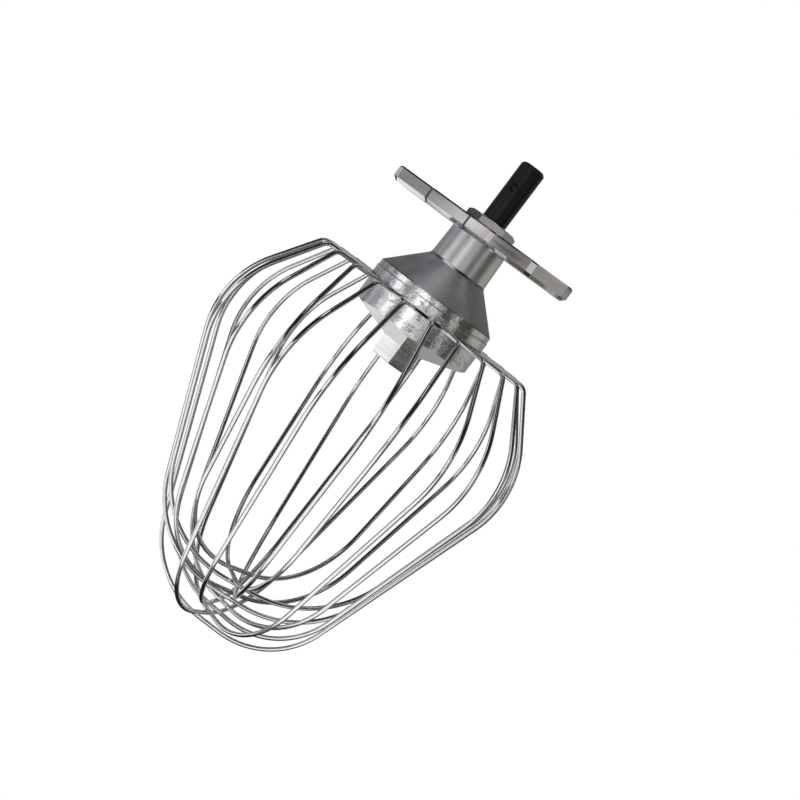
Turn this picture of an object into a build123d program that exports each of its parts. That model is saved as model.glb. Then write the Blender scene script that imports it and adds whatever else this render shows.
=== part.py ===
from build123d import *
import math
import os

os.makedirs("parts", exist_ok=True)

# A balloon whisk, in millimetres.
# The whisk hangs below its drive shaft. +Z runs up the shaft and +X along the grip bar.
# Z is zero on the top face of the lock nut, where the free part of the shaft begins.

# Drive shaft and lock nut
shaft_diameter = 10.4
shaft_free_length = 26.0
shaft_tip_chamfer = 1.0
drive_hole_diameter = 3.5
drive_hole_height = 15.0
stud_diameter = 10.0
stud_clearance = 0.05
nut_across_flats = 19.0
nut_height = 2.9
nut_turn = 24.0
nut_chamfer_angle = 30.0

# Grip bar
bar_thickness = 6.2
bar_half_length = 43.8
bar_inner_half_length = 25.0
bar_inner_width = 16.0
bar_outer_width = 12.0
bar_corner_length = 2.2
bar_corner_width = 1.1
bar_end_slant = 5.0
bar_pad_width = 10.0
bar_pad_rise = 1.6
bar_top_chamfer = 0.7
bar_lower_chamfer = 1.4

# Hub casting
neck_top_radius = 12.05
neck_bottom_radius = 12.45
neck_height = 13.8
flare_height = 12.9
rim_radius = 25.9
rim_height = 7.4
rim_band_height = 2.8
rim_step = 0.3
rim_edge = 0.6
neck_edge = 0.4
neck_root = 0.5

# Wires and the way they are held
wire_diameter = 1.8
groove_clearance = 0.05
parting_gap = 0.7
hook_radius_from_axis = 14.0
hook_height = 4.0
hook_bend_radius = 2.0
hook_room = 0.8

# Clamp cap
disc_height = 8.6
boss_across_flats = 16.0
boss_height = 8.3
boss_turn = 52.0
boss_edge = 0.6
underside_drop = 6.2
disc_edge = 0.4

# Shape of a wire loop, measured from the plane in which the wires leave the hub
shoulder_radius = 48.0
shoulder_bend = 4.0
belly_corner_radius = 71.8
belly_corner_depth = 35.2
belly_bend = 40.0
lower_taper = 0.360
shortest_loop_depth = 124.0
loop_pitch = 2.27
hip_fullness = 1.18
foot_lean = 3.8
foot_lean_angle = 112.0
foot_tilt = 0.055
first_leg_angle = 26.7

# Loops from the highest at the foot to the lowest, each by the place of one leg round the hub.
# Places are counted from the first leg in steps of the legs' spacing.
loop_places = (-3, 1, -5, 0, -4, -6, 3, -1, 4, 2, -2, 5)

# Hand-bent legs stray sideways: degrees at the belly and at the foot, by the leg's place.
leg_stray = {
    -4: (6, 3),
    -3: (10, -5.7),
    -2: (-2.7, -7),
    -1: (-0.5, -5),
    0: (2.5, 2),
    1: (-6, -4),
    3: (-2, -1),
    7: (-9, -8),
    8: (7, 4),
    9: (7, 0),
    10: (1, 9),
    11: (2, 3.8),
    12: (0, -4.2),
    13: (-3, 5.5),
    14: (3, 2),
    16: (0, -3),
    17: (-2, -8),
}

# Levels that follow from the sizes above
wire_radius = wire_diameter / 2
groove_radius = wire_radius + groove_clearance
stud_hole_radius = stud_diameter / 2 + stud_clearance
bar_top = -nut_height
bar_bottom = bar_top - bar_thickness
neck_bottom = bar_bottom - neck_height
rim_top = neck_bottom - flare_height
hub_bottom = rim_top - rim_height
wire_plane = hub_bottom - parting_gap / 2
cap_top = wire_plane - parting_gap / 2
disc_bottom = cap_top - disc_height
boss_top = disc_bottom - underside_drop
boss_bottom = boss_top - boss_height
stud_end = (boss_top + boss_bottom) / 2
loop_count = len(loop_places)
leg_angle = 180.0 / loop_count
groove_start_radius = hook_radius_from_axis - wire_radius - hook_room
groove_length = rim_radius


def direction(angle):
    """Level direction away from the axis; the angle is taken from -Y towards +X, seen from above."""
    turn = math.radians(angle)
    return Vector(math.sin(turn), -math.cos(turn), 0)


def groove_plane(place, start_radius):
    """Plane across the leg at this place, where its groove starts, facing outward."""
    outward = direction(first_leg_angle + leg_angle * place)
    return Plane(origin=outward * start_radius + Vector(0, 0, wire_plane), z_dir=outward)


def leg_corners(place, depth, hip_radius):
    """Corners of one leg of a loop, from the tip of its hook down to its hip.

    The foot is bent a little to one side: its hips lean that way and rise on that side.
    """
    angle = first_leg_angle + leg_angle * place
    belly_stray, foot_stray = leg_stray.get(place, (0, 0))
    corners = [
        (angle, hook_radius_from_axis, hook_height),
        (angle, hook_radius_from_axis, 0),
        (angle, shoulder_radius, 0),
        (angle + belly_stray, belly_corner_radius, -belly_corner_depth),
        (angle + foot_stray, hip_radius, -depth),
    ]
    points = [direction(turn) * radius + Vector(0, 0, wire_plane + rise) for turn, radius, rise in corners]
    lean_side = direction(foot_lean_angle)
    points[-1] += lean_side * foot_lean + Vector(0, 0, foot_tilt * lean_side.dot(points[-1]))
    return points


# Drive shaft: a plain pilot above the nut, a thinner stud through nut, bar, hub and cap
with BuildPart() as drive_shaft:
    with BuildSketch(Plane.XY) as pilot_section:
        Circle(shaft_diameter / 2)
    extrude(amount=shaft_free_length)
    chamfer(drive_shaft.edges().group_by(Axis.Z)[-1], length=shaft_tip_chamfer)
    with BuildSketch(Plane.XY) as stud_section:
        Circle(stud_diameter / 2)
    extrude(amount=stud_end)
    with BuildSketch(Plane.XZ.offset(-shaft_diameter)) as drive_hole_section:
        with Locations((0, drive_hole_height)):
            Circle(drive_hole_diameter / 2)
    extrude(amount=2 * shaft_diameter, mode=Mode.SUBTRACT)
drive_shaft.part.label = "drive_shaft"
export_step(drive_shaft.part, "parts/drive_shaft.step")

# Lock nut: a thin hexagon whose top corners are turned down to a cone
nut_corner_radius = nut_across_flats / math.sqrt(3)
nut_corner_drop = (nut_corner_radius - nut_across_flats / 2) * math.tan(math.radians(nut_chamfer_angle))
with BuildPart() as lock_nut:
    with BuildSketch(Plane.XY.offset(bar_top)) as nut_section:
        RegularPolygon(nut_across_flats / 2, 6, major_radius=False, rotation=nut_turn)
        Circle(stud_hole_radius, mode=Mode.SUBTRACT)
    extrude(amount=nut_height)
    with BuildSketch(Plane.XZ) as nut_turned_profile:
        with BuildLine():
            Polyline(
                (0, bar_top),
                (nut_corner_radius + 1, bar_top),
                (nut_corner_radius + 1, -nut_corner_drop),
                (nut_corner_radius, -nut_corner_drop),
                (nut_across_flats / 2, 0),
                (0, 0),
                close=True,
            )
        make_face()
    revolve(axis=Axis.Z, mode=Mode.INTERSECT)
lock_nut.part.label = "lock_nut"
export_step(lock_nut.part, "parts/lock_nut.step")

# Grip bar: two arms, wider near the middle, with a flat pad standing proud on each side.
# The front of the bar is its -Y side; the ends are cut at a slant, so the back is a little shorter.
inner_half = bar_inner_width / 2
outer_half = bar_outer_width / 2
pad_half = bar_pad_width / 2
with BuildPart() as grip_bar:
    with BuildSketch(Plane.XY.offset(bar_bottom)) as bar_outline:
        with BuildLine():
            Polyline(
                (0, -inner_half - bar_pad_rise),
                (pad_half, -inner_half - bar_pad_rise),
                (pad_half + bar_pad_rise, -inner_half),
                (bar_inner_half_length, -inner_half),
                (bar_inner_half_length + inner_half - outer_half, -outer_half),
                (bar_half_length - bar_corner_length, -outer_half),
                (bar_half_length, bar_corner_width - outer_half),
                (bar_half_length - bar_end_slant, outer_half),
                (bar_inner_half_length + inner_half - outer_half, outer_half),
                (bar_inner_half_length, inner_half),
                (pad_half + bar_pad_rise, inner_half),
                (pad_half, inner_half + bar_pad_rise),
                (0, inner_half + bar_pad_rise),
            )
            mirror(about=Plane.YZ)
        make_face()
        Circle(stud_hole_radius, mode=Mode.SUBTRACT)
    extrude(amount=bar_thickness)
    bar_flats = grip_bar.faces().filter_by(Axis.Z).sort_by(Axis.Z)
    chamfer(bar_flats[-1].edges().filter_by(GeomType.LINE), length=bar_top_chamfer)
    chamfer(bar_flats[0].edges().filter_by(GeomType.LINE), length=bar_lower_chamfer)
grip_bar.part.label = "grip_bar"
export_step(grip_bar.part, "parts/grip_bar.step")

# Hub: a turned casting with a ring groove for the hooked wire ends and a half groove for each leg
with BuildPart() as hub:
    with BuildSketch(Plane.XZ) as hub_profile:
        with BuildLine():
            Polyline(
                (stud_hole_radius, hub_bottom),
                (stud_hole_radius, bar_bottom),
                (neck_top_radius - neck_edge, bar_bottom),
                (neck_top_radius, bar_bottom - neck_edge),
                (neck_bottom_radius, neck_bottom + neck_root),
                (neck_bottom_radius + neck_root, neck_bottom - neck_root),
                (rim_radius - rim_edge, rim_top),
                (rim_radius, rim_top - rim_edge),
                (rim_radius, rim_top - rim_band_height),
                (rim_radius + rim_step, rim_top - rim_band_height - rim_step),
                (rim_radius + rim_step, hub_bottom + rim_step),
                (rim_radius, hub_bottom),
                close=True,
            )
        make_face()
    revolve(axis=Axis.Z)
    with BuildSketch(Plane.XY.offset(hub_bottom)) as hook_ring:
        Circle(hook_radius_from_axis + wire_radius + hook_room)
        Circle(hook_radius_from_axis - wire_radius - hook_room, mode=Mode.SUBTRACT)
    extrude(amount=hook_height + hook_room - parting_gap / 2, mode=Mode.SUBTRACT)
    for place in range(2 * loop_count):
        with BuildSketch(groove_plane(place, groove_start_radius)):
            Circle(groove_radius)
        extrude(amount=groove_length, mode=Mode.SUBTRACT)
hub.part.label = "hub"
export_step(hub.part, "parts/hub.step")

# Clamp cap: a round disc whose underside is planed to a six-sided pyramid above a spanner boss
underside_slope = underside_drop / (rim_radius - boss_across_flats / 2)
planing_apothem = rim_radius + 1.5
planing_top = boss_top + underside_slope * (planing_apothem - boss_across_flats / 2)
with BuildPart() as clamp_cap:
    with BuildSketch(Plane.XY.offset(boss_top)) as pyramid_small_end:
        RegularPolygon(boss_across_flats / 2, 6, major_radius=False, rotation=boss_turn)
    with BuildSketch(Plane.XY.offset(planing_top)) as pyramid_large_end:
        RegularPolygon(planing_apothem, 6, major_radius=False, rotation=boss_turn)
    loft()
    with BuildSketch(Plane.XY.offset(planing_top)) as disc_blank:
        RegularPolygon(planing_apothem, 6, major_radius=False, rotation=boss_turn)
    extrude(amount=cap_top - planing_top)
    with BuildSketch(Plane.XY.offset(boss_top)) as disc_turning:
        Circle(rim_radius)
    extrude(amount=cap_top - boss_top, mode=Mode.INTERSECT)
    chamfer(clamp_cap.edges().group_by(Axis.Z)[-1], length=disc_edge)
    with BuildSketch(Plane.XY.offset(boss_top)) as boss_section:
        RegularPolygon(boss_across_flats / 2, 6, major_radius=False, rotation=boss_turn)
    extrude(amount=-boss_height)
    chamfer(clamp_cap.edges().group_by(Axis.Z)[0], length=boss_edge)
    with BuildSketch(Plane.XY.offset(stud_end - 1)) as stud_hole:
        Circle(stud_hole_radius)
    extrude(amount=cap_top - stud_end + 1, mode=Mode.SUBTRACT)
    for place in range(2 * loop_count):
        with BuildSketch(groove_plane(place, groove_start_radius)):
            Circle(groove_radius)
        extrude(amount=groove_length, mode=Mode.SUBTRACT)
clamp_cap.part.label = "clamp_cap"
export_step(clamp_cap.part, "parts/clamp_cap.step")

# Wire loops: each is one bent wire, hooked up into the hub at both ends and crossing at the foot
for level, place in enumerate(loop_places):
    depth = shortest_loop_depth + loop_pitch * level
    hip_radius = belly_corner_radius - lower_taper * (depth - belly_corner_depth)
    near_leg = leg_corners(place, depth, hip_radius)
    far_leg = leg_corners(place + loop_count, depth, hip_radius)
    leg_bends = [hook_bend_radius, shoulder_bend, belly_bend, hip_fullness * hip_radius]
    with BuildPart() as wire_loop:
        with BuildLine() as loop_path:
            FilletPolyline(near_leg + far_leg[::-1], radius=leg_bends + leg_bends[::-1])
        with BuildSketch(Plane(origin=loop_path.line @ 0, z_dir=loop_path.line % 0)) as wire_section:
            Circle(wire_radius)
        sweep(path=loop_path.line)
    loop_name = f"wire_loop_{level + 1:02d}"
    wire_loop.part.label = loop_name
    export_step(wire_loop.part, f"parts/{loop_name}.step")
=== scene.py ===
# %% [markdown]
# # A balloon whisk
#
# This lesson dresses a balloon whisk for its picture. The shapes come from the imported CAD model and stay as
# they are. The script gives every piece its finish, hangs the whisk over a white floor, lights it like a
# small product studio and sets the camera.

# %% Load the whisk
import math

import bmesh
import bpy
from mathutils import Matrix, Vector


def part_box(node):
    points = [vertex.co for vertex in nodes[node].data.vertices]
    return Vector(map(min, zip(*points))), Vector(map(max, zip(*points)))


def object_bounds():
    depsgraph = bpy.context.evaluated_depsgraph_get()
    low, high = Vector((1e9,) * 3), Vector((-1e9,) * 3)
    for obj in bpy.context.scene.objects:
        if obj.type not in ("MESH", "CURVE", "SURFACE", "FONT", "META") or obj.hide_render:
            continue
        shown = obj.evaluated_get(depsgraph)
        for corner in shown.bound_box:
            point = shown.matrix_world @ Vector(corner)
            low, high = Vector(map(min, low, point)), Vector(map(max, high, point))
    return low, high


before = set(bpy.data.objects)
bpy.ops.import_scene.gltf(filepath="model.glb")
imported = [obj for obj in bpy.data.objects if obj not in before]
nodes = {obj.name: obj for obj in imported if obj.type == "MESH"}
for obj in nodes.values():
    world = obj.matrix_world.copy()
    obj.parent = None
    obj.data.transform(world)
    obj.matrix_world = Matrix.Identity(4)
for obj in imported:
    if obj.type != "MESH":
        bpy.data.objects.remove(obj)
cad_low, cad_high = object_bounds()
print("pieces:", len(nodes))
print("from", [round(v, 4) for v in cad_low], "to", [round(v, 4) for v in cad_high])

# %% [markdown]
# Every piece of the whisk is metal, and every finish starts from the same node material with one Principled
# shader. A finish could be set by one colour and one roughness, but real metal varies from place to place,
# so nodes drive both. A finished material is then worn by the CAD pieces in place of the one that they were
# packed with.

# %% A finish to start from
def new_finish(name, metallic=1.0):
    """A node material with only a Principled shader; returns the material, its node tree and the shader."""
    material = bpy.data.materials.new(name)
    material.use_nodes = True
    tree = material.node_tree
    shader = tree.nodes["Principled BSDF"]
    shader.inputs["Metallic"].default_value = metallic
    return material, tree, shader


def wear(material, *names):
    """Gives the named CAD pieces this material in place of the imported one."""
    for name in names:
        mesh = nodes[name].data
        mesh.materials.clear()
        mesh.materials.append(material)
    print(material.name, "on", len(names), "piece(s)")


wire_names = sorted(name for name in nodes if name.startswith("wire_loop"))
print("wire loops:", len(wire_names), "other pieces:", sorted(set(nodes) - set(wire_names)))

# %% [markdown]
# Tool marks and casting skin make metal uneven. A picture of scratches could be wrapped on each piece, but
# that needs a flat map of every shape. A noise on Object coordinates needs none: it fills space, and the
# piece cuts through it. Object coordinates are in metres with the whisk's axis on Z, so a noise that is
# squeezed along Z lies in rings round the axis, the way a lathe leaves its marks.

# %% Noise, and what is made of it
noise_low, noise_high = 0.3, 0.7
even = (1.0, 1.0, 1.0)


def stretched_noise(tree, scale, detail=4.0, stretch=even):
    """The value of a noise on Object coordinates, which are first multiplied by stretch on each axis."""
    place = tree.nodes.new("ShaderNodeTexCoord")
    mapping = tree.nodes.new("ShaderNodeMapping")
    mapping.inputs["Scale"].default_value = stretch
    noise = tree.nodes.new("ShaderNodeTexNoise")
    noise.inputs["Scale"].default_value = scale
    noise.inputs["Detail"].default_value = detail
    tree.links.new(place.outputs["Object"], mapping.inputs["Vector"])
    tree.links.new(mapping.outputs["Vector"], noise.inputs["Vector"])
    return noise.outputs["Fac"]


def spread(tree, value, low, high):
    """Turns a noise value into a number between low and high."""
    remap = tree.nodes.new("ShaderNodeMapRange")
    remap.inputs["From Min"].default_value = noise_low
    remap.inputs["From Max"].default_value = noise_high
    remap.inputs["To Min"].default_value = low
    remap.inputs["To Max"].default_value = high
    tree.links.new(value, remap.inputs["Value"])
    return remap.outputs["Result"]


def tint(tree, value, dark, light):
    """Turns a noise value into a colour between dark and light."""
    ramp = tree.nodes.new("ShaderNodeValToRGB")
    ramp.color_ramp.elements[0].position = noise_low
    ramp.color_ramp.elements[0].color = (*dark, 1.0)
    ramp.color_ramp.elements[1].position = noise_high
    ramp.color_ramp.elements[1].color = (*light, 1.0)
    tree.links.new(value, ramp.inputs["Fac"])
    return ramp.outputs["Color"]


def grey(level):
    """A colour without a tint."""
    return (level, level, level)


print("noise is read between", noise_low, "and", noise_high)

# %% [markdown]
# The loops are bright drawn stainless wire. Polished metal has no colour of its own to speak of: it shows
# the room. A mirror would be a roughness of zero, but drawn wire is never quite that. A low roughness keeps
# the reflections crisp, and a slight noise in it keeps them from looking like glass.

# %% Bright drawn wire
bright_wire, tree, shader = new_finish("bright_drawn_wire")
drawing = stretched_noise(tree, scale=420.0)
wire_colour = tint(tree, drawing, dark=(0.80, 0.80, 0.81), light=(0.90, 0.90, 0.91))
wire_roughness = spread(tree, drawing, low=0.06, high=0.12)
tree.links.new(wire_colour, shader.inputs["Base Color"])
tree.links.new(wire_roughness, shader.inputs["Roughness"])
wear(bright_wire, *wire_names)

# %% [markdown]
# The hub is one casting with several finishes: a turned rim, a satin flare, a smoother neck and a line at
# the neck's foot that a tool has rubbed bright. It could be cut up and given one material for each, but it
# is one piece. So one material mixes the finishes by height, with masks that are zero or one.

# %% Masks by place
def own_place(tree, axis):
    """The place on the piece along one axis, in metres."""
    place = tree.nodes.new("ShaderNodeTexCoord")
    split = tree.nodes.new("ShaderNodeSeparateXYZ")
    tree.links.new(place.outputs["Object"], split.inputs["Vector"])
    return split.outputs[axis]


def step_mask(tree, zero_at, one_at, axis="Z"):
    """Zero on one side and one on the other, with a short ramp between the two places."""
    ramp = tree.nodes.new("ShaderNodeMapRange")
    ramp.inputs["From Min"].default_value = zero_at
    ramp.inputs["From Max"].default_value = one_at
    tree.links.new(own_place(tree, axis), ramp.inputs["Value"])
    return ramp.outputs["Result"]


def level_mask(tree, level, reach):
    """One within the given reach of a height, zero elsewhere."""
    near = tree.nodes.new("ShaderNodeMath")
    near.operation = "COMPARE"
    near.inputs[1].default_value = level
    near.inputs[2].default_value = reach
    tree.links.new(own_place(tree, "Z"), near.inputs[0])
    return near.outputs["Value"]


def mixed(tree, mask, low, high, kind="FLOAT"):
    """Low where the mask is zero and high where it is one; kind is FLOAT for numbers and RGBA for colours."""
    mix = tree.nodes.new("ShaderNodeMix")
    mix.data_type = kind
    tree.links.new(mask, mix.inputs["Factor"])
    tree.links.new(low, mix.inputs["A"])
    tree.links.new(high, mix.inputs["B"])
    return mix.outputs["Result"]


millimetre = 0.001
rim_height = 7.4 * millimetre
neck_height = 13.3 * millimetre
root_reach = 0.5 * millimetre
edge_blend = 0.1 * millimetre
hub_low, hub_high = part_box("hub")
rim_top = hub_low[2] + rim_height
neck_foot = hub_high[2] - neck_height
root_level = neck_foot - root_reach
print("rim's top at", round(rim_top, 4), "neck's foot at", round(neck_foot, 4))

# %% [markdown]
# A casting's skin has a fine grain, and hand work leaves soft waves in a turned rim, a fraction of a
# millimetre deep. They could be pushed into the mesh, but they are too shallow to show in an outline. A
# Bump node tilts the light on the surface instead, and each one passes on the relief that was there before
# it.

# %% Relief
def raise_grain(tree, shader, value, strength, depth, mask=None):
    """Fine relief from a noise value, on top of any that is there; a mask takes the place of the strength."""
    bump = tree.nodes.new("ShaderNodeBump")
    bump.inputs["Strength"].default_value = strength
    bump.inputs["Distance"].default_value = depth
    tree.links.new(value, bump.inputs["Height"])
    if mask is not None:
        tree.links.new(mask, bump.inputs["Strength"])
    for link in shader.inputs["Normal"].links:
        tree.links.new(link.from_socket, bump.inputs["Normal"])
    tree.links.new(bump.outputs["Normal"], shader.inputs["Normal"])


lathe_rings = (6.0, 6.0, 260.0)
hand_waves = (1.0, 1.0, 1.6)
print("rings are squeezed", lathe_rings, "and waves", hand_waves)

# %% [markdown]
# Now the hub's own material. The rings give the rim its colour and roughness, and the mottled skin gives
# those of the flare and neck. The waves are faint everywhere and strong on the rim, which is what breaks
# its reflections into bright and dark patches.

# %% Satin casting with a turned rim
cast_skin, tree, shader = new_finish("satin_cast_aluminium")
mottle = stretched_noise(tree, scale=260.0, detail=6.0)
grain = stretched_noise(tree, scale=2600.0, detail=3.0)
rings = stretched_noise(tree, scale=8.0, detail=5.0, stretch=lathe_rings)
waves = stretched_noise(tree, scale=150.0, detail=3.0, stretch=hand_waves)
on_flare = step_mask(tree, rim_top - edge_blend, rim_top + edge_blend)
on_rim = step_mask(tree, rim_top + edge_blend, rim_top - edge_blend)
on_neck = step_mask(tree, neck_foot, neck_foot + 2 * edge_blend)
on_root = level_mask(tree, root_level, root_reach)

skin_colour = tint(tree, mottle, dark=(0.78, 0.785, 0.785), light=(0.88, 0.885, 0.885))
rim_colour = tint(tree, rings, dark=grey(0.72), light=grey(0.90))
hub_colour = mixed(tree, on_flare, rim_colour, skin_colour, "RGBA")
tree.links.new(hub_colour, shader.inputs["Base Color"])

rim_roughness = spread(tree, rings, low=0.18, high=0.28)
flare_roughness = spread(tree, mottle, low=0.36, high=0.46)
neck_roughness = spread(tree, mottle, low=0.31, high=0.39)
root_roughness = spread(tree, grain, low=0.18, high=0.26)
hub_roughness = mixed(tree, on_flare, rim_roughness, flare_roughness)
hub_roughness = mixed(tree, on_neck, hub_roughness, neck_roughness)
hub_roughness = mixed(tree, on_root, hub_roughness, root_roughness)
tree.links.new(hub_roughness, shader.inputs["Roughness"])

raise_grain(tree, shader, grain, strength=0.12, depth=0.05 * millimetre)
raise_grain(tree, shader, waves, strength=0.2, depth=0.5 * millimetre)
raise_grain(tree, shader, waves, strength=1.0, depth=0.35 * millimetre, mask=on_rim)
wear(cast_skin, "hub")

# %% [markdown]
# The clamp cap is turned on its disc and planed on its underside and boss, so it is brighter than the hub's
# flare. Disc and underside could have a material each. Here they share the rings, and only the disc gets
# the waves, so the planed faces stay flat.

# %% Turned and planed cap
disc_height = 9.5 * millimetre
disc_blend = 1.0 * millimetre
disc_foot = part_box("clamp_cap")[1][2] - disc_height

turned_cap, tree, shader = new_finish("turned_aluminium")
rings = stretched_noise(tree, scale=8.0, detail=5.0, stretch=lathe_rings)
waves = stretched_noise(tree, scale=150.0, detail=3.0, stretch=hand_waves)
cap_colour = tint(tree, rings, dark=grey(0.76), light=grey(0.90))
cap_roughness = spread(tree, rings, low=0.18, high=0.28)
on_disc = step_mask(tree, disc_foot, disc_foot + disc_blend)
tree.links.new(cap_colour, shader.inputs["Base Color"])
tree.links.new(cap_roughness, shader.inputs["Roughness"])
raise_grain(tree, shader, waves, strength=1.0, depth=0.4 * millimetre, mask=on_disc)
wear(turned_cap, "clamp_cap")

# %% [markdown]
# The grip bar is aluminium, polished by hand along its length, so its marks run along X. The small pad on
# its front gets a paler, pinkish copy of the bar's colour, which is a painted highlight. The pad could be a
# face with its own material, but it is the foremost part of the bar, so a mask on Y finds it.

# %% Hand-polished bar
along_bar = (1.0, 8.0, 8.0)
pad_skin = 0.5 * millimetre
pad_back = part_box("grip_bar")[0][1] + pad_skin

polished_bar, tree, shader = new_finish("hand_polished_aluminium")
strokes = stretched_noise(tree, scale=60.0, detail=3.0, stretch=along_bar)
arm_colour = tint(tree, strokes, dark=(0.72, 0.715, 0.71), light=(0.82, 0.815, 0.81))
# The pad's paler, pinkish copy of the bar's colour is a painted highlight.
pad_painted_highlight = tint(tree, strokes, dark=(0.90, 0.88, 0.88), light=(0.96, 0.94, 0.94))
on_arms = step_mask(tree, pad_back - edge_blend, pad_back + edge_blend, "Y")
bar_colour = mixed(tree, on_arms, pad_painted_highlight, arm_colour, "RGBA")
bar_roughness = spread(tree, strokes, low=0.08, high=0.13)
tree.links.new(bar_colour, shader.inputs["Base Color"])
tree.links.new(bar_roughness, shader.inputs["Roughness"])
wear(polished_bar, "grip_bar")

# %% [markdown]
# The lock nut is plain steel. Dirt could be painted on it, but a dark base colour and a fine, even noise
# say the same at this size.

# %% Dark lock nut
dark_nut, tree, shader = new_finish("dark_steel")
# A dark base colour with a fine, even noise over the whole nut.
nut_noise = stretched_noise(tree, scale=900.0)
nut_colour = tint(tree, nut_noise, dark=(0.34, 0.325, 0.325), light=(0.42, 0.40, 0.40))
nut_roughness = spread(tree, nut_noise, low=0.14, high=0.22)
tree.links.new(nut_colour, shader.inputs["Base Color"])
tree.links.new(nut_roughness, shader.inputs["Roughness"])
wear(dark_nut, "lock_nut")

# %% [markdown]
# The drive shaft is blackened steel with a faint oily sheen. The black is a skin of oxide on the metal,
# neither paint nor bare steel, so the shader is made only partly metallic, with turning rings that hardly
# show.

# %% Blackened shaft
fine_turning = (3.0, 3.0, 400.0)
black_steel, tree, shader = new_finish("blackened_steel", metallic=0.6)
turning = stretched_noise(tree, scale=6.0, stretch=fine_turning)
shaft_colour = tint(tree, turning, dark=(0.010, 0.010, 0.012), light=(0.030, 0.030, 0.034))
shaft_roughness = spread(tree, turning, low=0.28, high=0.42)
tree.links.new(shaft_colour, shader.inputs["Base Color"])
tree.links.new(shaft_roughness, shader.inputs["Roughness"])
wear(black_steel, "drive_shaft")

# %% [markdown]
# The studio has a white floor well below the hanging whisk, and a white world. Strong lamps could bleach a
# grey floor, but they would bleach the metal too. So floor and world are plain white wherever they are
# seen, straight or in a reflection, and light the whisk at a lower level. The Light Path node tells the two
# apart.

# %% White where it is seen
scene = bpy.context.scene
scene.view_settings.view_transform = "Standard"


def where_seen(tree):
    """One for what the camera sees, straight, in a reflection or through glass; zero for all other light."""
    path = tree.nodes.new("ShaderNodeLightPath")
    either = tree.nodes.new("ShaderNodeMath")
    either.operation = "MAXIMUM"
    seen = tree.nodes.new("ShaderNodeMath")
    seen.operation = "MAXIMUM"
    tree.links.new(path.outputs["Is Camera Ray"], either.inputs[0])
    tree.links.new(path.outputs["Is Glossy Ray"], either.inputs[1])
    tree.links.new(either.outputs["Value"], seen.inputs[0])
    tree.links.new(path.outputs["Is Transmission Ray"], seen.inputs[1])
    return seen.outputs["Value"]


world = bpy.data.worlds.new("white_studio")
scene.world = world
world.use_nodes = True
tree = world.node_tree
tree.nodes.clear()
strength = tree.nodes.new("ShaderNodeMapRange")
strength.inputs["To Min"].default_value = 0.5
strength.inputs["To Max"].default_value = 1.0
sky = tree.nodes.new("ShaderNodeBackground")
sky.inputs["Color"].default_value = (*grey(1.0), 1.0)
output = tree.nodes.new("ShaderNodeOutputWorld")
tree.links.new(where_seen(tree), strength.inputs["Value"])
tree.links.new(strength.outputs["Result"], sky.inputs["Strength"])
tree.links.new(sky.outputs["Background"], output.inputs["Surface"])
print("world:", world.name)

# %% [markdown]
# The floor is one flat card, and so are the reflectors that come later. A plane could be added and then
# turned and scaled as an object; here bmesh makes a unit square and moves it to its place in the mesh.

# %% Floor
floor_size = 12.0
floor_drop = 0.35
whisk_height = cad_high[2] - cad_low[2]
floor_level = cad_low[2] - floor_drop * whisk_height


def flat_card(name, width, height, centre, facing, material):
    """A plain rectangle with its face turned along facing."""
    mesh = bpy.data.meshes.new(name)
    shape = bmesh.new()
    bmesh.ops.create_grid(shape, x_segments=1, y_segments=1, size=0.5)
    turn = Vector(facing).to_track_quat("Z", "Y").to_matrix().to_4x4()
    place = Matrix.Translation(Vector(centre)) @ turn @ Matrix.Diagonal((width, height, 1.0, 1.0))
    bmesh.ops.transform(shape, matrix=place, verts=shape.verts)
    shape.to_mesh(mesh)
    shape.free()
    mesh.materials.append(material)
    piece = bpy.data.objects.new(name, mesh)
    scene.collection.objects.link(piece)
    return piece


def plain_white(name):
    """White where it is seen; a plain matt white for all other light."""
    material = bpy.data.materials.new(name)
    material.use_nodes = True
    tree = material.node_tree
    tree.nodes.clear()
    matt = tree.nodes.new("ShaderNodeBsdfDiffuse")
    matt.inputs["Color"].default_value = (*grey(0.9), 1.0)
    glow = tree.nodes.new("ShaderNodeEmission")
    mix = tree.nodes.new("ShaderNodeMixShader")
    output = tree.nodes.new("ShaderNodeOutputMaterial")
    tree.links.new(where_seen(tree), mix.inputs["Fac"])
    tree.links.new(matt.outputs["BSDF"], mix.inputs[1])
    tree.links.new(glow.outputs["Emission"], mix.inputs[2])
    tree.links.new(mix.outputs["Shader"], output.inputs["Surface"])
    return material


straight_up = (0.0, 0.0, 1.0)
flat_card("floor", floor_size, floor_size, (0.0, 0.0, floor_level), straight_up, plain_white("white_floor"))
print("floor at", round(floor_level, 4))

# %% [markdown]
# The camera stands level with the hub, looks a little down and is rolled, so the whisk leans across the
# picture with its foot at the lower left. It could be turned by three angles at once, but they are hard to
# picture. Here its place is given in the whisk's own terms: how far from the axis, how high, and turned how
# far round from the front. Yaw, pitch and roll then follow one after another.

# %% Camera
camera_turn = math.radians(22.0)
camera_distance = 0.6254
camera_height = -0.0271
camera_yaw = math.radians(1.122)
camera_pitch = math.radians(-4.479)
camera_roll = math.radians(36.97)
lens_length = 72.9
sensor_width = 36.0

ahead = Vector((-math.sin(camera_turn), math.cos(camera_turn), 0.0))
aside = Vector((math.cos(camera_turn), math.sin(camera_turn), 0.0))
level_look = ahead * math.cos(camera_yaw) + aside * math.sin(camera_yaw)
level_right = aside * math.cos(camera_yaw) - ahead * math.sin(camera_yaw)
look = level_look * math.cos(camera_pitch) + Vector((0.0, 0.0, math.sin(camera_pitch)))
level_up = level_right.cross(look)
right = level_right * math.cos(camera_roll) + level_up * math.sin(camera_roll)
up = level_up * math.cos(camera_roll) - level_right * math.sin(camera_roll)
camera_place = -ahead * camera_distance + Vector((0.0, 0.0, camera_height))

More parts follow.
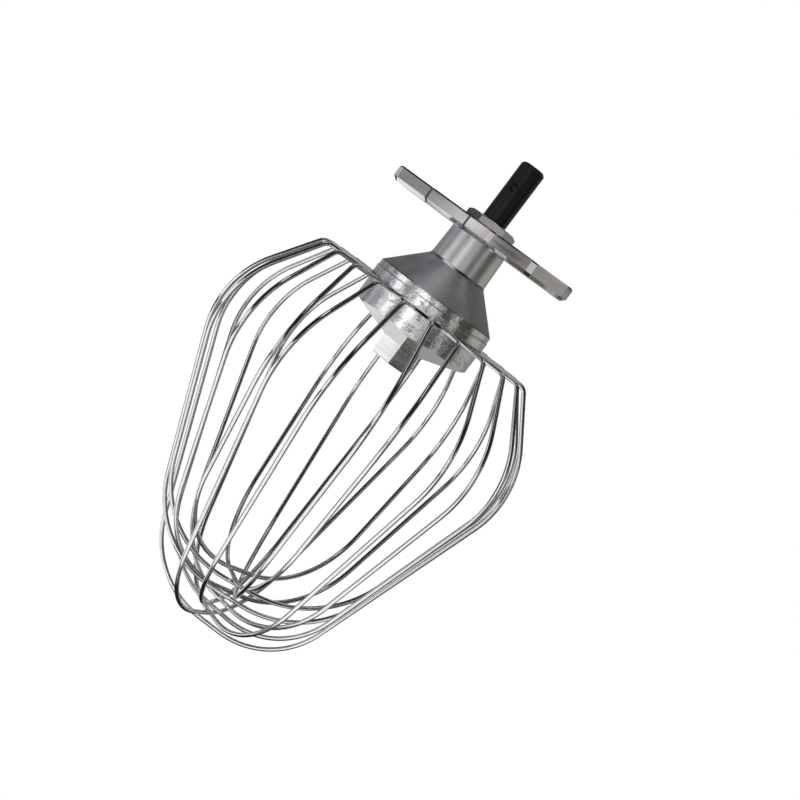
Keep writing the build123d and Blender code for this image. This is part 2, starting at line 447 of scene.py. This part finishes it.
camera_data = bpy.data.cameras.new("camera")
camera_data.sensor_width = sensor_width
camera_data.lens = lens_length
camera = bpy.data.objects.new("camera", camera_data)
scene.collection.objects.link(camera)
axes = Matrix((right, up, -look)).transposed()
camera.matrix_world = Matrix.Translation(camera_place) @ axes.to_4x4()
scene.camera = camera
print("camera at", tuple(round(v, 4) for v in camera_place))

# %% [markdown]
# Two soft lamps give the casting its light: one far to the left and one between it and the camera. Point
# lamps would be simpler, but they leave hard sparks on wire. Places in the studio are given from the
# whisk's middle, in degrees to the camera's right, degrees up, and metres away.

# %% Lamps
whisk_middle = (Vector(cad_low) + Vector(cad_high)) / 2


def studio_place(turn, rise, distance):
    """A place round the whisk's middle: degrees to the camera's right, degrees up, and metres away."""
    level = math.cos(math.radians(rise))
    out = aside * math.sin(math.radians(turn)) - ahead * math.cos(math.radians(turn))
    return whisk_middle + (out * level + Vector((0.0, 0.0, math.sin(math.radians(rise))))) * distance


def soft_lamp(name, place, size, power):
    """A square area lamp that faces the middle of the whisk."""
    data = bpy.data.lights.new(name, "AREA")
    data.size = size
    data.energy = power
    lamp = bpy.data.objects.new(name, data)
    scene.collection.objects.link(lamp)
    aim = (whisk_middle - place).to_track_quat("-Z", "Y")
    lamp.matrix_world = Matrix.Translation(place) @ aim.to_matrix().to_4x4()
    print(name, "at", tuple(round(v, 3) for v in place))


soft_lamp("key_lamp", studio_place(-64, 1, 1.1), size=0.30, power=0.20)
soft_lamp("front_lamp", studio_place(-20, 2, 1.2), size=0.34, power=0.30)

# %% [markdown]
# Bright metal shows the room around it, and in an all-white room it would vanish. So the room is made of
# cards, dark and light, that only reflections see: they cast no shadow, light nothing and stay out of every
# picture. A photographed room could be used instead, but each card can be set for the one face that it is
# meant for. Where two cards overlap, the one nearer to the whisk hides the other, so they stand in five
# rows.

# %% Cards that only reflections see
outer_row, second_row, third_row, fourth_row, inner_row = 1.5, 1.48, 1.45, 1.4, 1.35
card_lift = 0.005
dark = grey(0.015)
shade = grey(0.10)


def card(name, wide, high, place, facing, colour):
    """A plain card that only reflections see."""
    material = bpy.data.materials.new(name)
    material.use_nodes = True
    tree = material.node_tree
    tree.nodes.clear()
    glow = tree.nodes.new("ShaderNodeEmission")
    glow.inputs["Color"].default_value = (*colour, 1.0)
    output = tree.nodes.new("ShaderNodeOutputMaterial")
    tree.links.new(glow.outputs["Emission"], output.inputs["Surface"])
    piece = flat_card(name, wide, high, place, facing, material)
    piece.visible_camera = False
    piece.visible_diffuse = False
    piece.visible_shadow = False
    piece.visible_transmission = False
    return piece


def standing_card(name, turn, rise, width, height, colour, row=outer_row):
    """A card round the whisk that faces it; turn, rise, width and height are given in degrees."""
    wide = 2 * row * math.tan(math.radians(width / 2))
    high = 2 * row * math.tan(math.radians(height / 2))
    place = studio_place(turn, rise, row)
    card(name, wide, high, place, whisk_middle - place, colour)


def lying_card(name, left, right, near, far, colour):
    """A card just above the floor, between two distances across and two distances away from the camera."""
    middle = aside * (left + right) / 2 + ahead * (near + far) / 2
    place = Vector((middle.x, middle.y, floor_level + card_lift))
    piece = card(name, right - left, far - near, (0.0, 0.0, 0.0), straight_up, colour)
    piece.matrix_world = Matrix.Translation(place) @ Matrix.Rotation(camera_turn, 4, "Z")


print("rows of cards at", outer_row, second_row, third_row, fourth_row, inner_row)

# %% [markdown]
# Overhead it is dark, like a ceiling. The flare looks up, so it gets a paler card of its own to the left,
# and the bright line at the neck's foot comes from a long, narrow card that is a little blue.

# %% Overhead
standing_card("upper_front", 0, 62, 120, 66, dark)
standing_card("upper_left", -112, 48, 70, 40, (0.05, 0.05, 0.055))
standing_card("flare_light", -110, 78, 40, 22, (0.42, 0.42, 0.43), fourth_row)
standing_card("bar_edge_shade", -118, 68, 8, 8, dark, inner_row)
standing_card("junction_light", -42, 51, 50, 9, (0.80, 0.84, 1.00), inner_row)
standing_card("upper_right", 105, 52, 80, 44, (0.06, 0.057, 0.054))
standing_card("upper_back", 180, 62, 90, 50, grey(0.35))
print("overhead set")

# %% [markdown]
# The left side is the bright one. Neck, rim and disc are round, so they show these cards as upright
# stripes, from the dark one beside the camera to the white ones at the far left. The bar's flat faces each
# show a single card: the pad a narrow white one, the arms the greys beside it, and the steps in the bar a
# dark one.

# %% Front and left
standing_card("front_upper", 0, 20, 40, 18, dark)
standing_card("left_upper", -62, 22, 100, 24, dark)
standing_card("photographer", -4.5, 3, 11, 18, dark, fourth_row)
standing_card("front_left", -26, 2, 20, 16, grey(0.85))
standing_card("left_front", -50, 2, 13, 16, (0.27, 0.27, 0.28), second_row)
standing_card("pad_light", -44.8, 2, 2.4, 16, (0.85, 0.83, 0.86), third_row)
standing_card("left_front_warm", -39.5, 2, 8, 16, (0.36, 0.335, 0.315), second_row)
standing_card("bar_shade", -42.4, 2, 2.0, 16, dark, fourth_row)
standing_card("left_wide", -76, 2, 40, 16, (0.88, 0.88, 0.92), second_row)
standing_card("step_shade", -88, 5, 13, 14, (0.10, 0.10, 0.11), fourth_row)
standing_card("left_end", -104, 2, 16, 20, (0.50, 0.51, 0.54), fourth_row)
standing_card("left_back", -127, 2, 8, 20, (0.42, 0.42, 0.44), fourth_row)
print("front and left set")

# %% [markdown]
# Behind the whisk stand tall shaded cards. They draw the dark lines along the edges of the wires, where
# metal shows what is behind it. Lower, lighter ones in front of them keep the bar and hub from going black
# when the whisk is looked at from the back.

# %% Behind
standing_card("back_left_light", -152, 2, 20, 20, (0.30, 0.30, 0.31), fourth_row)
standing_card("left_side", -103, 0, 18, 64, shade)
standing_card("back_left", -140, 0, 56, 64, shade)
standing_card("back_left_low_light", -136, -4, 10, 8, (0.30, 0.30, 0.31), fourth_row)
standing_card("back", 180, 0, 24, 64, shade)
standing_card("back_low_light", 180, -1, 36, 14, (0.42, 0.42, 0.41), third_row)
standing_card("back_right", 148, 0, 42, 64, shade)
standing_card("back_right_light", 150, 2, 24, 20, (0.27, 0.26, 0.24), fourth_row)
print("back set")

# %% [markdown]
# The right side is dark and a little warm, which gives the round pieces their shaded side. A few lighter
# cards pick out the right ends of disc and rim, the corner of the pad and the steps in the bar's right arm.

# %% Right
standing_card("right_side", 109, 0, 38, 64, shade)
standing_card("right_side_light", 112, 5, 44, 14, (0.46, 0.445, 0.41), fourth_row)
standing_card("right_side_low_light", 112, -5, 44, 6, (0.22, 0.215, 0.20), fourth_row)
standing_card("right", 72, 4, 36, 60, (0.05, 0.045, 0.04))
standing_card("right_front", 30, 4, 24, 46, (0.05, 0.045, 0.04))
standing_card("right_corner", 13.5, 3, 5, 10, (0.20, 0.18, 0.175), fourth_row)
standing_card("right_step_light", 48, 2, 12, 20, (0.62, 0.61, 0.60), fourth_row)
print("right set")

# %% [markdown]
# Wires that lean inwards show the floor. Left white all over it would leave the foot of the whisk pale and
# flat, so cards lie on it: shaded ones to both sides, dark ones right under the whisk, and two lighter ones
# behind that light the underside of the cap.

# %% On the floor
lying_card("floor_left", -2.2, -0.20, 0.0, 2.0, (0.09, 0.09, 0.12))
lying_card("floor_front_left", -2.2, -0.60, -2.0, 0.0, (0.09, 0.09, 0.12))
lying_card("floor_right", 0.18, 2.2, -2.0, 2.0, (0.13, 0.115, 0.10))
lying_card("floor_front", -0.25, 0.18, -0.08, -0.03, (0.16, 0.16, 0.165))
lying_card("floor_back", -0.06, 0.18, -0.03, 0.14, dark)
lying_card("floor_back_left", -0.20, -0.06, 0.10, 0.14, dark)
lying_card("under_left", -0.20, 0.00, 0.14, 1.0, (0.80, 0.80, 0.82))
lying_card("under_right", 0.00, 0.18, 0.14, 1.0, (0.36, 0.35, 0.34))
lying_card("floor_far", -0.20, 0.18, 1.0, 2.0, dark)
print("floor cards set")

# %% [markdown]

# %% End of the scene
print("scene set")
